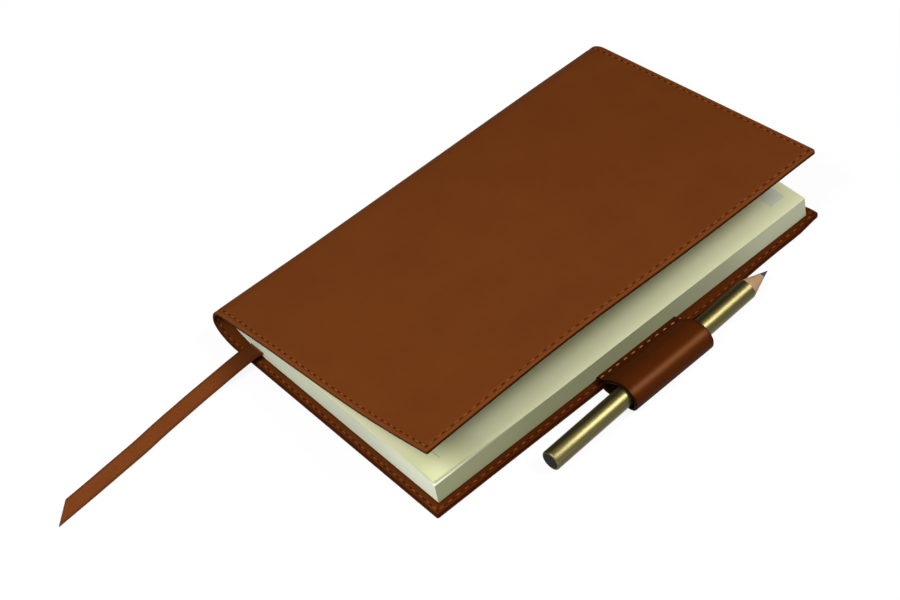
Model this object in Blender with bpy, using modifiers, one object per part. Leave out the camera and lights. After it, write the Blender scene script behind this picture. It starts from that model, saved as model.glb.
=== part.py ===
"""Golf score notebook: a stitched leather cover with a rounded spine, a text block of folded
sections, a leather marker strip, and a round pencil in a leather loop on the fore-edge.

Metres, +Z up. +X runs from the spine to the fore-edge and +Y from the tail to the head.
The origin is the middle of the back panel's underside, which lies on the table.
"""

import math

import bmesh
import bpy
from mathutils import Matrix, Vector

# Cover
COVER_LENGTH = 0.150
BACK_PANEL_WIDTH = 0.086
FRONT_PANEL_WIDTH = 0.0882
FRONT_REST_ANGLE = math.radians(8.8)
LEATHER = 0.0008
BOARD = 0.0005
LINING = 0.00025
CARD = 0.00025
TURN_IN = 0.0004
TURN_IN_WIDTH = 0.008
POCKET_WIDTH = 0.045
LAYER_GAP = 0.0001
EDGE_GAP = 0.0003

# Spine
SPINE_DEPTH = 0.0101
SPINE_LOW_HEIGHT = 0.0058
SPINE_HIGH_RISE = 0.0094
SPINE_LINING = 0.0006
SPINE_LINING_MARGIN = 0.002
LOWER_HINGE_TURN = math.radians(55)
HINGE_OUTSET = 0.0001
LOWER_FOLD_GAP = 0.0003
UPPER_FOLD_GAP = 0.0004
CURVE_STEPS = 9

# Text block
BLOCK_END_MARGIN = 0.0023
BLOCK_FORE_MARGIN = 0.0023
BLOCK_OVERHANG = 0.0045
FIXED_OVERHANG = 0.0030
SECTION = 0.00105
FIXED_SECTION_COUNT = 2
TURNING_SECTION_COUNT = 4
FORE_EDGE_STEP = 0.00016
LEAF = 0.0002
LEAF_GAP = 0.00006

# Marker strip: its route is a list of places chosen along the strip's middle, as x, the distance
# out from the cover's tail edge, and z
MARKER_WIDTH = 0.0058
MARKER = 0.0005
MARKER_X = -0.0365
MARKER_SIDE_GAP = 0.0004
MARKER_HEAD_MARGIN = 0.002
MARKER_CUT_SLANT = 0.0058
MARKER_STEPS = 26
MARKER_ROUTE = (
    (-0.0369, 0.0002, 0.00415),
    (-0.0374, 0.0050, 0.00315),
    (-0.0378, 0.0110, 0.00190),
    (-0.0379, 0.0180, 0.00095),
    (-0.0375, 0.0250, 0.00050),
    (-0.0367, 0.0330, 0.00036),
    (-0.0356, 0.0410, 0.00036),
    (-0.0347, 0.0500, 0.00036),
    (-0.0337, 0.0600, 0.00036),
    (-0.0327, 0.0710, 0.00036),
)

# Pencil
PENCIL_LENGTH = 0.0887
PENCIL_RADIUS = 0.00308
PENCIL_TAPER = 0.0102
PENCIL_END_BEVEL = 0.0004
PENCIL_TAIL_Y = -0.0417
PENCIL_X = 0.0508
PENCIL_YAW = math.radians(2.35)
LEAD_RADIUS = 0.0010
LEAD_GAP = 0.00005
ROUND_STEPS = 28

# Pencil loop
LOOP_LENGTH = 0.0317
LOOP_MIDDLE_Y = 0.0017
LOOP_LEATHER = 0.0009
LOOP_SIDE_PLAY = 0.0010
LOOP_TOP_PLAY = 0.00022
LOOP_FLAP = 0.0021
LOOP_FLOOR_GAP = 0.0001
LOOP_STEPS = 20

# Sewing thread
THREAD_RADIUS = 0.00025
THREAD_GAP = 0.00006
FRONT_SEAM_INSET = 0.0024
BACK_SEAM_INSET = 0.0012
SEAM_START = 0.003
SEAM_CORNER = 0.0008
SEAM_RAMP = 0.0009

COVER_THICKNESS = LEATHER + BOARD + LINING + CARD + TURN_IN + 4 * LAYER_GAP
FORE_X = BACK_PANEL_WIDTH / 2
SPINE_X = -FORE_X
HALF_LENGTH = COVER_LENGTH / 2
HALF_BLOCK = HALF_LENGTH - BLOCK_END_MARGIN
BLOCK_BOTTOM = COVER_THICKNESS + LAYER_GAP
UPPER_HINGE_TURN = math.pi - math.atan(math.tan(FRONT_REST_ANGLE) * SPINE_DEPTH / SPINE_HIGH_RISE)
OVERSHOOT = 0.002
MERGE_DISTANCE = 0.000001
SMALL_TURN = math.radians(0.1)


def clear_scene():
    for obj in list(bpy.data.objects):
        bpy.data.objects.remove(obj, do_unlink=True)


def new_collection(name):
    collection = bpy.data.collections.new(name)
    bpy.context.scene.collection.children.link(collection)
    return collection


def new_material(name, rgb, roughness, metallic=0.0):
    material = bpy.data.materials.new(name)
    material.use_nodes = True
    shader = material.node_tree.nodes["Principled BSDF"]
    shader.inputs["Base Color"].default_value = (*rgb, 1.0)
    shader.inputs["Roughness"].default_value = roughness
    shader.inputs["Metallic"].default_value = metallic
    return material


def new_empty(name, location, rotation=(0.0, 0.0, 0.0), parent=None):
    empty = bpy.data.objects.new(name, None)
    empty.location = Vector(location)
    empty.rotation_euler = rotation
    PARTS.objects.link(empty)
    if parent:
        empty.parent = parent
    return empty


def add_part(name, data, material, parent, place=(0.0, 0.0, 0.0)):
    """A named piece whose data is given about place, under the empty that carries it."""
    obj = bpy.data.objects.new(name, data)
    data.materials.append(material)
    obj.location = Vector(place)
    obj.parent = parent
    PARTS.objects.link(obj)
    return obj


def add_cutter(name, low, high, parent):
    cutter = bpy.data.objects.new(name, slab_mesh(name, low, high))
    cutter.parent = parent
    cutter.hide_render = True
    cutter.display_type = "WIRE"
    CUTTERS.objects.link(cutter)
    return cutter


def cut(obj, cutter):
    modifier = obj.modifiers.new(cutter.name, "BOOLEAN")
    modifier.operation = "DIFFERENCE"
    modifier.object = cutter


def slab_mesh(name, low, high):
    low = Vector(low)
    high = Vector(high)
    size = high - low
    shape = bmesh.new()
    place = Matrix.Translation((low + high) / 2) @ Matrix.Diagonal((*size, 1.0))
    bmesh.ops.create_cube(shape, size=1.0, matrix=place)
    mesh = bpy.data.meshes.new(name)
    shape.to_mesh(mesh)
    shape.free()
    return mesh


def section_curve(name, outlines, width):
    """Closed (x, z) outlines, the first one filled and the others its holes, as a bar along Y."""
    curve = bpy.data.curves.new(name, "CURVE")
    curve.dimensions = "2D"
    curve.fill_mode = "BOTH"
    curve.extrude = width / 2
    for outline in outlines:
        spline = curve.splines.new("POLY")
        spline.points.add(len(outline) - 1)
        for point, (x, z) in zip(spline.points, outline):
            point.co = (x, z, 0.0, 1.0)
        spline.use_cyclic_u = True
    return curve


def add_bar(name, outlines, low_y, high_y, material, parent, shift=(0.0, 0.0, 0.0)):
    """The bar of an XZ outline between two Y places, with its origin moved by shift."""
    curve = section_curve(name, outlines, high_y - low_y)
    place = (shift[0], (low_y + high_y) / 2 + shift[1], shift[2])
    bar = add_part(name, curve, material, parent, place)
    bar.rotation_euler = (math.pi / 2, 0.0, 0.0)
    return bar


def as_mesh(obj):
    """The same piece as a mesh with its caps welded on, so that it can be cut."""
    bpy.context.view_layer.update()
    graph = bpy.context.evaluated_depsgraph_get()
    mesh = bpy.data.meshes.new_from_object(obj.evaluated_get(graph))
    shape = bmesh.new()
    shape.from_mesh(mesh)
    bmesh.ops.remove_doubles(shape, verts=shape.verts, dist=MERGE_DISTANCE)
    bmesh.ops.recalc_face_normals(shape, faces=shape.faces)
    shape.to_mesh(mesh)
    shape.free()
    name = obj.name
    obj.name = name + "_outline"
    piece = bpy.data.objects.new(name, mesh)
    piece.parent = obj.parent
    piece.location = obj.location
    piece.rotation_euler = obj.rotation_euler
    PARTS.objects.link(piece)
    bpy.data.objects.remove(obj, do_unlink=True)
    return piece


def add_thread(name, points, material, parent):
    curve = bpy.data.curves.new(name, "CURVE")
    curve.dimensions = "3D"
    curve.bevel_depth = THREAD_RADIUS
    curve.bevel_resolution = 1
    curve.use_fill_caps = True
    spline = curve.splines.new("POLY")
    spline.points.add(len(points) - 1)
    for point, place in zip(spline.points, points):
        point.co = (*place, 1.0)
    return add_part(name, curve, material, parent)


def add_turned(name, profile, closed, material, parent, place=(0.0, 0.0, 0.0)):
    """A turned piece about its own Z from an (r, z) profile that runs down its outer side."""
    mesh = bpy.data.meshes.new(name)
    edges = [(i, i + 1) for i in range(len(profile) - 1)]
    if closed:
        edges.append((len(profile) - 1, 0))
    mesh.from_pydata([(r, 0.0, z) for r, z in profile], edges, [])
    obj = add_part(name, mesh, material, parent, place)
    screw = obj.modifiers.new("Turn", "SCREW")
    screw.steps = ROUND_STEPS
    screw.render_steps = ROUND_STEPS
    screw.use_merge_vertices = True
    screw.merge_threshold = MERGE_DISTANCE
    screw.use_smooth_shade = True
    return obj


def spine_point(turn, inward=0.0):
    """A place on the spine's section, turned up from the table, moved in from its outer face."""
    rise = SPINE_LOW_HEIGHT if turn < math.pi / 2 else SPINE_HIGH_RISE
    x = SPINE_X - SPINE_DEPTH * math.sin(turn)
    z = SPINE_LOW_HEIGHT - rise * math.cos(turn)
    normal = Vector((math.sin(turn) / SPINE_DEPTH, math.cos(turn) / rise)).normalized()
    return (x + inward * normal.x, z + inward * normal.y)


def spine_run(first, last, inward):
    steps = range(CURVE_STEPS + 1)
    return [spine_point(first + (last - first) * i / CURVE_STEPS, inward) for i in steps]


def spine_band(first, last, outer, inner):
    """The closed outline of one layer of the spine between two turns."""
    return spine_run(first, last, outer) + spine_run(last, first, inner)


def turn_per_length(turn, length):
    """The turn that moves a place along the spine's section by this length."""
    ahead = Vector(spine_point(turn + SMALL_TURN))
    behind = Vector(spine_point(turn))
    return length * SMALL_TURN / (ahead - behind).length


def smooth_route(points, count):
    """A smooth curve through hand-chosen points, as count + 1 places evenly along its spans."""
    knots = [Vector(p) for p in points]
    knots = [2 * knots[0] - knots[1]] + knots + [2 * knots[-1] - knots[-2]]
    spans = len(points) - 1
    places = []
    for i in range(count + 1):
        along = spans * i / count
        span = min(int(along), spans - 1)
        t = along - span
        a, b, c, d = knots[span : span + 4]
        places.append(
            0.5 * (2 * b + (c - a) * t + (2 * a - 5 * b + 4 * c - d) * t**2
                   + (3 * b - a - 3 * c + d) * t**3)
        )
    return places


def add_filling(side, panel_low, panel_high, parent, place):
    """One panel's filling, measured from its outer face: board, lining, card and slip pocket.

    place turns a depth from the outer face into the panel's own z.
    """
    cavity_y = HALF_LENGTH - LEATHER - EDGE_GAP
    inner_x = panel_high - LEATHER - EDGE_GAP
    low_x = panel_low + LEATHER + EDGE_GAP
    depth = LEATHER + LAYER_GAP
    for name, thick, material in (("board", BOARD, GREYBOARD), ("lining", LINING, LINING_CLOTH),
                                  ("card", CARD, CARD_STOCK)):
        ends = sorted((place(depth), place(depth + thick)))
        mesh = slab_mesh(name, (low_x, -cavity_y, ends[0]), (inner_x, cavity_y, ends[1]))
        add_part(f"{side}_{name}", mesh, material, parent)
        depth += thick + LAYER_GAP
    window_y = HALF_LENGTH - TURN_IN_WIDTH - EDGE_GAP
    window_x = panel_high - TURN_IN_WIDTH - EDGE_GAP
    ends = sorted((place(depth), place(COVER_THICKNESS)))
    mesh = slab_mesh("pocket", (window_x - POCKET_WIDTH, -window_y, ends[0]), (window_x, window_y, ends[1]))
    add_part(f"{side}_pocket", mesh, LEATHER_DARK, parent)


def cut_tray(leather, side, panel_low, panel_high, parent, place):
    """Hollows a panel's leather for its filling, and opens it inside the turned-in border."""
    cavity = sorted((place(LEATHER), place(COVER_THICKNESS - TURN_IN)))
    window = sorted((place(LEATHER + BOARD), place(COVER_THICKNESS + OVERSHOOT)))
    low_x = panel_low + LEATHER
    cavity_y = HALF_LENGTH - LEATHER
    window_y = HALF_LENGTH - TURN_IN_WIDTH
    cavity_low = (low_x, -cavity_y, cavity[0])
    cavity_high = (panel_high - LEATHER, cavity_y, cavity[1])
    cut(leather, add_cutter(f"{side}_cavity", cavity_low, cavity_high, parent))
    window_low = (low_x, -window_y, window[0])
    window_high = (panel_high - TURN_IN_WIDTH, window_y, window[1])
    cut(leather, add_cutter(f"{side}_window", window_low, window_high, parent))


def build_back_cover():
    """The back panel with the start of the lower fold, and what it holds."""
    hinge_turn = LOWER_HINGE_TURN - turn_per_length(LOWER_HINGE_TURN, LOWER_FOLD_GAP / 2)
    outline = [(FORE_X, COVER_THICKNESS), (FORE_X, 0.0)]
    outline += spine_run(0.0, hinge_turn, 0.0)
    outline += spine_run(hinge_turn, 0.0, LEATHER)
    outline.append((SPINE_X, COVER_THICKNESS))
    leather = add_bar("back_leather", [outline], -HALF_LENGTH, HALF_LENGTH, LEATHER_BROWN, BACK)
    leather = as_mesh(leather)
    cut_tray(leather, "back", SPINE_X, FORE_X, CUT_ROOT, lambda depth: depth)
    add_filling("back", SPINE_X, FORE_X, BACK, lambda depth: depth)


def build_spine():
    """The rounded leather between the two folds, with its lining."""
    first = LOWER_HINGE_TURN + turn_per_length(LOWER_HINGE_TURN, LOWER_FOLD_GAP / 2)
    last = UPPER_HINGE_TURN - turn_per_length(UPPER_HINGE_TURN, UPPER_FOLD_GAP)
    shift = -SPINE.location
    leather = [spine_band(first, last, 0.0, LEATHER)]
    add_bar("spine_leather", leather, -HALF_LENGTH, HALF_LENGTH, LEATHER_BROWN, SPINE, shift)
    inner = LEATHER + LAYER_GAP
    lining = [spine_band(first, last, inner, inner + SPINE_LINING)]
    lining_y = HALF_LENGTH - SPINE_LINING_MARGIN
    add_bar("spine_lining", lining, -lining_y, lining_y, LEATHER_DARK, SPINE, shift)


def build_front_cover():
    """The front panel, flat under its own empty, with its outer face up at z = 0."""
    low_x = UPPER_FOLD_GAP
    high_x = FRONT_PANEL_WIDTH
    mesh = slab_mesh("front_leather", (low_x, -HALF_LENGTH, -COVER_THICKNESS), (high_x, HALF_LENGTH, 0.0))
    leather = add_part("front_leather", mesh, LEATHER_BROWN, FRONT)
    cut_tray(leather, "front", low_x, high_x, FRONT, lambda depth: -depth)
    add_filling("front", low_x, high_x, FRONT, lambda depth: -depth)


def seam_corner(x, y, first_leg_along_x):
    """The two points of a seam's cut-off corner at the fore-edge, in the order of travel."""
    along_x = (x - SEAM_CORNER, y)
    along_y = (x, y - math.copysign(SEAM_CORNER, y))
    return [along_x, along_y] if first_leg_along_x else [along_y, along_x]


def build_threads():
    """The border's sewing thread: over the front panel, round the spine, along the inner border."""
    lift = THREAD_GAP + THREAD_RADIUS
    seam_y = HALF_LENGTH - FRONT_SEAM_INSET
    seam_x = FRONT_PANEL_WIDTH - FRONT_SEAM_INSET
    flat = [(SEAM_START, -seam_y), *seam_corner(seam_x, -seam_y, True)]
    flat += [*seam_corner(seam_x, seam_y, False), (SEAM_START, seam_y)]
    add_thread("front_thread", [(x, y, lift) for x, y in flat], THREAD, FRONT)
    first = LOWER_HINGE_TURN + turn_per_length(LOWER_HINGE_TURN, SEAM_START / 2)
    last = UPPER_HINGE_TURN - turn_per_length(UPPER_HINGE_TURN, SEAM_START)
    for name, y in (("spine_thread_tail", -seam_y), ("spine_thread_head", seam_y)):
        around = [Vector((x, y, z)) - SPINE.location for x, z in spine_run(first, last, -lift)]
        add_thread(name, around, THREAD, SPINE)
    seam_y = HALF_LENGTH - BACK_SEAM_INSET
    seam_x = FORE_X - BACK_SEAM_INSET
    low = COVER_THICKNESS + lift
    high = COVER_THICKNESS + LAYER_GAP + LOOP_LEATHER + lift
    loop_low = LOOP_MIDDLE_Y - LOOP_LENGTH / 2
    loop_high = LOOP_MIDDLE_Y + LOOP_LENGTH / 2
    route = [(SPINE_X + SEAM_START, -seam_y, low)]
    route += [(x, y, low) for x, y in seam_corner(seam_x, -seam_y, True)]
    route += [(seam_x, loop_low - 2 * SEAM_RAMP, low), (seam_x, loop_low - SEAM_RAMP, high)]
    route += [(seam_x, loop_high + SEAM_RAMP, high), (seam_x, loop_high + 2 * SEAM_RAMP, low)]
    route += [(x, y, low) for x, y in seam_corner(seam_x, seam_y, False)]
    route.append((SPINE_X + SEAM_START, seam_y, low))
    add_thread("back_thread", route, THREAD, BACK)


def build_text_block():
    """Six folded sections and the first leaf, the lower ones fixed and the rest on one axis."""
    fore_x = FORE_X - BLOCK_FORE_MARGIN
    count = FIXED_SECTION_COUNT + TURNING_SECTION_COUNT
    z = BLOCK_BOTTOM
    for level in range(count):
        fixed = level < FIXED_SECTION_COUNT
        back_x = SPINE_X - (FIXED_OVERHANG if fixed else BLOCK_OVERHANG)
        carrier = BACK if fixed else LEAVES
        shift = Vector() if fixed else LEAVES.location
        low = Vector((back_x, -HALF_BLOCK, z)) - shift
        high = Vector((fore_x - level * FORE_EDGE_STEP, HALF_BLOCK, z + SECTION)) - shift
        name = f"section_{count - level}"
        section = add_part(name, slab_mesh(name, low, high), PAPER, carrier)
        if level == FIXED_SECTION_COUNT - 1:
            half = MARKER_WIDTH / 2 + MARKER_SIDE_GAP
            floor_z = z + SECTION - MARKER - 2 * LAYER_GAP
            channel_low = (MARKER_X - half, -HALF_BLOCK - OVERSHOOT, floor_z)
            channel_high = (MARKER_X + half, HALF_BLOCK + OVERSHOOT, z + SECTION + OVERSHOOT)
            cut(section, add_cutter("marker_channel", channel_low, channel_high, CUT_ROOT))
        z += SECTION + LEAF_GAP
    low = Vector((SPINE_X - BLOCK_OVERHANG, -HALF_BLOCK, z)) - LEAVES.location
    high = Vector((fore_x - count * FORE_EDGE_STEP, HALF_BLOCK, z + LEAF)) - LEAVES.location
    add_part("score_leaf", slab_mesh("score_leaf", low, high), PAPER, LEAVES)


def build_marker():
    """The strip between the sections, and its free tail that runs down to the table."""
    half = MARKER_WIDTH / 2
    floor_z = leaf_axis_height() - LEAF_GAP - MARKER - LAYER_GAP
    inside_low = (MARKER_X - half, -HALF_BLOCK + EDGE_GAP / 2, floor_z)
    inside_high = (MARKER_X + half, HALF_BLOCK - MARKER_HEAD_MARGIN, floor_z + MARKER)
    add_part("marker_inside", slab_mesh("marker_inside", inside_low, inside_high), LEATHER_DARK, BACK)
    start = Vector((MARKER_X, -HALF_BLOCK - EDGE_GAP / 2, floor_z + MARKER / 2))
    route = [(x, -HALF_LENGTH - out, z) for x, out, z in MARKER_ROUTE]
    middle = smooth_route([start, *route], MARKER_STEPS)
    shape = bmesh.new()
    bmesh.ops.create_grid(shape, x_segments=MARKER_STEPS, y_segments=1, size=1.0)
    for vertex in shape.verts:
        along = round((vertex.co.x + 1.0) / 2 * MARKER_STEPS)
        ahead = middle[min(along + 1, MARKER_STEPS)]
        behind = middle[max(along - 1, 0)]
        run = (ahead - behind).normalized() if along else Vector((0.0, -1.0, 0.0))
        across = run.cross(Vector((0.0, 0.0, 1.0))).normalized()
        slant = -vertex.co.y * MARKER_CUT_SLANT / 2 if along == MARKER_STEPS else 0.0
        vertex.co = middle[along] - across * half * vertex.co.y + run * slant
    bmesh.ops.recalc_face_normals(shape, faces=shape.faces)
    mesh = bpy.data.meshes.new("marker_tail")
    shape.to_mesh(mesh)
    shape.free()
    tail = add_part("marker_tail", mesh, LEATHER_DARK, BACK)
    solidify = tail.modifiers.new("Thickness", "SOLIDIFY")
    solidify.thickness = MARKER
    solidify.offset = 0.0


def tangent_turn(point, centre, wide, high):
    """Where a straight line from a point on the left touches the top of an ellipse."""
    reach = Vector(((point[0] - centre[0]) / wide, (point[1] - centre[1]) / high))
    return math.atan2(reach.y, reach.x) % (2 * math.pi) - math.acos(1 / reach.length)


def loop_arc(centre, wide, high, first, last):
    turns = [first + (last - first) * i / LOOP_STEPS for i in range(LOOP_STEPS + 1)]
    return [(centre[0] + wide * math.cos(t), centre[1] + high * math.sin(t)) for t in turns]


def build_pencil_loop():
    """One leather strip sewn on the border, passed over and under the pencil to the cover's edge."""
    centre = (PENCIL_X, pencil_height())
    wide_in = PENCIL_RADIUS + LOOP_SIDE_PLAY
    high_in = PENCIL_RADIUS + LOOP_TOP_PLAY
    wide_out = wide_in + LOOP_LEATHER
    high_out = high_in + LOOP_LEATHER
    flap_low = COVER_THICKNESS + LAYER_GAP
    flap_high = flap_low + LOOP_LEATHER
    wall_x = FORE_X + EDGE_GAP
    bottom = -math.pi / 2
    outer_turn = tangent_turn((wall_x, flap_high), centre, wide_out, high_out)
    outer = [(FORE_X - LOOP_FLAP, flap_high), (wall_x, flap_high)]
    outer += loop_arc(centre, wide_out, high_out, outer_turn, bottom)
    outer += [(wall_x, centre[1] - high_out), (wall_x, flap_low), (FORE_X - LOOP_FLAP, flap_low)]
    inner_x = wall_x + LOOP_LEATHER
    inner_turn = tangent_turn((inner_x, flap_low), centre, wide_in, high_in)
    inner = [(inner_x, flap_low)]
    inner += loop_arc(centre, wide_in, high_in, inner_turn, bottom)
    inner.append((inner_x, centre[1] - high_in))
    low_y = LOOP_MIDDLE_Y - LOOP_LENGTH / 2
    high_y = LOOP_MIDDLE_Y + LOOP_LENGTH / 2
    add_bar("pencil_loop", [outer, inner], low_y, high_y, LEATHER_BROWN, BACK)


def build_pencil():
    """The lacquered barrel, bored for its graphite, sharpened at the head end."""
    bore = LEAD_RADIUS + LEAD_GAP
    wood_end = PENCIL_LENGTH - PENCIL_TAPER * bore / PENCIL_RADIUS
    barrel = [
        (bore, wood_end),
        (PENCIL_RADIUS, PENCIL_LENGTH - PENCIL_TAPER),
        (PENCIL_RADIUS, PENCIL_END_BEVEL),
        (PENCIL_RADIUS - PENCIL_END_BEVEL, 0.0),
        (bore, 0.0),
    ]
    start = (0.0, 0.0, -PENCIL_LENGTH / 2)
    add_turned("pencil_barrel", barrel, True, LACQUER, PENCIL, start)
    lead = [
        (0.0, PENCIL_LENGTH),
        (LEAD_RADIUS, PENCIL_LENGTH - PENCIL_TAPER * LEAD_RADIUS / PENCIL_RADIUS),
        (LEAD_RADIUS, 0.0),
        (0.0, 0.0),
    ]
    add_turned("pencil_lead", lead, False, GRAPHITE, PENCIL, start)


def leaf_axis_height():
    """The top of the fixed sections, where the turning leaves lie on them."""
    return BLOCK_BOTTOM + FIXED_SECTION_COUNT * (SECTION + LEAF_GAP)


def pencil_height():
    return LOOP_FLOOR_GAP + LOOP_LEATHER + LOOP_TOP_PLAY + PENCIL_RADIUS


clear_scene()
PARTS = new_collection("golf_score_notebook")
CUTTERS = new_collection("golf_score_notebook_cutters")

LEATHER_BROWN = new_material("brown leather", (0.155, 0.042, 0.010), 0.55)
LEATHER_DARK = new_material("dark brown leather", (0.090, 0.022, 0.005), 0.60)
LINING_CLOTH = new_material("lining cloth", (0.100, 0.045, 0.020), 0.85)
GREYBOARD = new_material("greyboard", (0.280, 0.260, 0.230), 0.90)
CARD_STOCK = new_material("card", (0.560, 0.500, 0.380), 0.80)
PAPER = new_material("cream paper", (0.780, 0.790, 0.640), 0.90)
THREAD = new_material("waxed thread", (0.300, 0.100, 0.025), 0.60)
LACQUER = new_material("gold lacquer", (0.480, 0.300, 0.080), 0.28, 0.6)
GRAPHITE = new_material("graphite", (0.050, 0.050, 0.055), 0.45)

BACK = new_empty("back_cover_root", (0.0, 0.0, 0.0))
CUT_ROOT = new_empty("cutter_root", (0.0, 0.0, 0.0))
lower_hinge = spine_point(LOWER_HINGE_TURN, -HINGE_OUTSET)
upper_hinge = spine_point(UPPER_HINGE_TURN, -HINGE_OUTSET)
upper_skin = spine_point(UPPER_HINGE_TURN)
SPINE = new_empty("spine_axis", (lower_hinge[0], 0.0, lower_hinge[1]))
FRONT_AXIS = new_empty(
    "front_cover_axis",
    (upper_hinge[0] - lower_hinge[0], 0.0, upper_hinge[1] - lower_hinge[1]),
    parent=SPINE,
)
FRONT = new_empty(
    "front_cover_plane",
    (upper_skin[0] - upper_hinge[0], 0.0, upper_skin[1] - upper_hinge[1]),
    (0.0, -FRONT_REST_ANGLE, 0.0),
    FRONT_AXIS,
)
LEAVES = new_empty("leaf_axis", (SPINE_X - BLOCK_OVERHANG, 0.0, leaf_axis_height()))
pencil_middle_y = PENCIL_TAIL_Y + PENCIL_LENGTH / 2 * math.cos(PENCIL_YAW)
PENCIL = new_empty(
    "pencil_axis",
    (PENCIL_X - math.tan(PENCIL_YAW) * pencil_middle_y, pencil_middle_y, pencil_height()),
    (-math.pi / 2, 0.0, PENCIL_YAW),
)

build_back_cover()
build_spine()
build_front_cover()
build_text_block()
build_marker()
build_pencil_loop()
build_pencil()
build_threads()
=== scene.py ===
"""Golf score notebook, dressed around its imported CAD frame: a stitched leather cover standing ajar,
folded sections with a first leaf for scores, a marker strip, and a pencil in a loop."""

import math

import bmesh
import bpy
import numpy as np
from mathutils import Matrix, Vector


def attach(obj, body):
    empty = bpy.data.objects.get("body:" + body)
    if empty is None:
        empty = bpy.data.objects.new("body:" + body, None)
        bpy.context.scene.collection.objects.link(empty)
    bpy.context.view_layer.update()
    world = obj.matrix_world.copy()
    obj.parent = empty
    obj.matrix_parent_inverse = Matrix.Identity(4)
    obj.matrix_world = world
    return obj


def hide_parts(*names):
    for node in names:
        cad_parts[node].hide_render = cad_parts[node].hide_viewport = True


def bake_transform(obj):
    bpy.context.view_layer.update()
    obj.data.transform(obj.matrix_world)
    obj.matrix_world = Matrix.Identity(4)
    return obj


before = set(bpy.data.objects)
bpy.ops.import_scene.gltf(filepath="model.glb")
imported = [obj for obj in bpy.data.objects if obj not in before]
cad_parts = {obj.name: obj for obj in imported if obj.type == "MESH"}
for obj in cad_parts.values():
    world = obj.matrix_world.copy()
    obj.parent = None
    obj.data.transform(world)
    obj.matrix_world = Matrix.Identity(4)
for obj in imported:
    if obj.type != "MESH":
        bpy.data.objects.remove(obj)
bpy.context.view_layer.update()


# Studio. A white paper floor and three soft boxes: one above the head and fore-edge, which shines in
# under the raised cover and draws the pencil's streak, a weak one far behind it, one above the tail.
# The camera stands where the photograph was taken, found from the cover's straight edges.
def linear(code):
    """An sRGB hex colour as linear RGBA."""
    shares = [int(code[i : i + 2], 16) / 255 for i in (1, 3, 5)]
    return (*(c / 12.92 if c <= 0.04045 else ((c + 0.055) / 1.055) ** 2.4 for c in shares), 1.0)


def fill(tree, node, inputs):
    """Fills a node's sockets from values or other outputs."""
    for socket, value in inputs.items():
        if isinstance(value, bpy.types.NodeSocket):
            tree.links.new(value, node.inputs[socket])
        else:
            node.inputs[socket].default_value = value


def add_node(tree, kind, inputs=(), **settings):
    """Adds a node, sets its properties and fills its sockets."""
    node = tree.nodes.new(kind)
    for name, value in settings.items():
        setattr(node, name, value)
    fill(tree, node, dict(inputs))
    return node


def new_finish(name):
    """A new material, its node tree and its main shader."""
    material = bpy.data.materials.new(name)
    material.use_nodes = True
    return material, material.node_tree, material.node_tree.nodes["Principled BSDF"]


def add_lamp(name, place, aim, size, watts):
    data = bpy.data.lights.new(name, "AREA")
    data.shape = "RECTANGLE"
    data.size, data.size_y = size
    data.energy = watts
    lamp = bpy.data.objects.new(name, data)
    lamp.location = place
    lamp.rotation_euler = (Vector(aim) - Vector(place)).to_track_quat("-Z", "Y").to_euler()
    bpy.context.scene.collection.objects.link(lamp)


add_lamp("head_box", (0.635, 0.52, 1.04), (0.05, 0.0, 0.0), (0.50, 0.50), 1.7)
add_lamp("fore_box", (0.325, 0.265, 0.49), (0.02, 0.04, 0.0), (0.26, 0.29), 2.15)
add_lamp("tail_box", (0.022, -0.42, 0.525), (0.0, 0.0, 0.0), (0.32, 0.27), 3.2)

WORLD_LIGHT = 0.13
world = bpy.data.worlds.new("studio")
world.use_nodes = True
bpy.context.scene.world = world
fill(world.node_tree, world.node_tree.nodes["Background"],
     {"Color": (1.0, 1.0, 1.0, 1.0), "Strength": WORLD_LIGHT})

# White seamless paper: matt and even. To the camera and in reflections it glows, so it reads white.
FLOOR_HALF = 4.0
FLOOR_Z = -0.00003
floor_paper, paper_tree, paper_shader = new_finish("seamless paper")
paper_tree.nodes.remove(paper_shader)
floor_path = add_node(paper_tree, "ShaderNodeLightPath")
floor_shown = add_node(paper_tree, "ShaderNodeMath", {0: floor_path.outputs["Is Camera Ray"],
                       1: floor_path.outputs["Is Glossy Ray"]}, operation="MAXIMUM")
floor_clear = add_node(paper_tree, "ShaderNodeMath", {0: floor_shown.outputs[0],
                       1: floor_path.outputs["Is Transmission Ray"]}, operation="MAXIMUM")
floor_lit = add_node(paper_tree, "ShaderNodeBsdfDiffuse", {"Color": linear("#CFCFCF")})
floor_kept = add_node(paper_tree, "ShaderNodeBsdfDiffuse", {"Color": linear("#5E5E5E")})
floor_glow = add_node(paper_tree, "ShaderNodeEmission", {"Strength": 0.9})
floor_seen = add_node(paper_tree, "ShaderNodeAddShader",
                      {0: floor_kept.outputs[0], 1: floor_glow.outputs[0]})
floor_mix = add_node(paper_tree, "ShaderNodeMixShader", {0: floor_clear.outputs[0],
                     1: floor_lit.outputs[0], 2: floor_seen.outputs[0]})
paper_tree.links.new(floor_mix.outputs[0], paper_tree.nodes["Material Output"].inputs["Surface"])
floor_mesh = bpy.data.meshes.new("floor")
floor_mesh.from_pydata([(-FLOOR_HALF, -FLOOR_HALF, FLOOR_Z), (FLOOR_HALF, -FLOOR_HALF, FLOOR_Z),
                        (FLOOR_HALF, FLOOR_HALF, FLOOR_Z), (-FLOOR_HALF, FLOOR_HALF, FLOOR_Z)],
                       [], [(0, 1, 2, 3)])
floor_mesh.materials.append(floor_paper)
floor = bpy.data.objects.new("floor", floor_mesh)
bpy.context.scene.collection.objects.link(floor)

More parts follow.
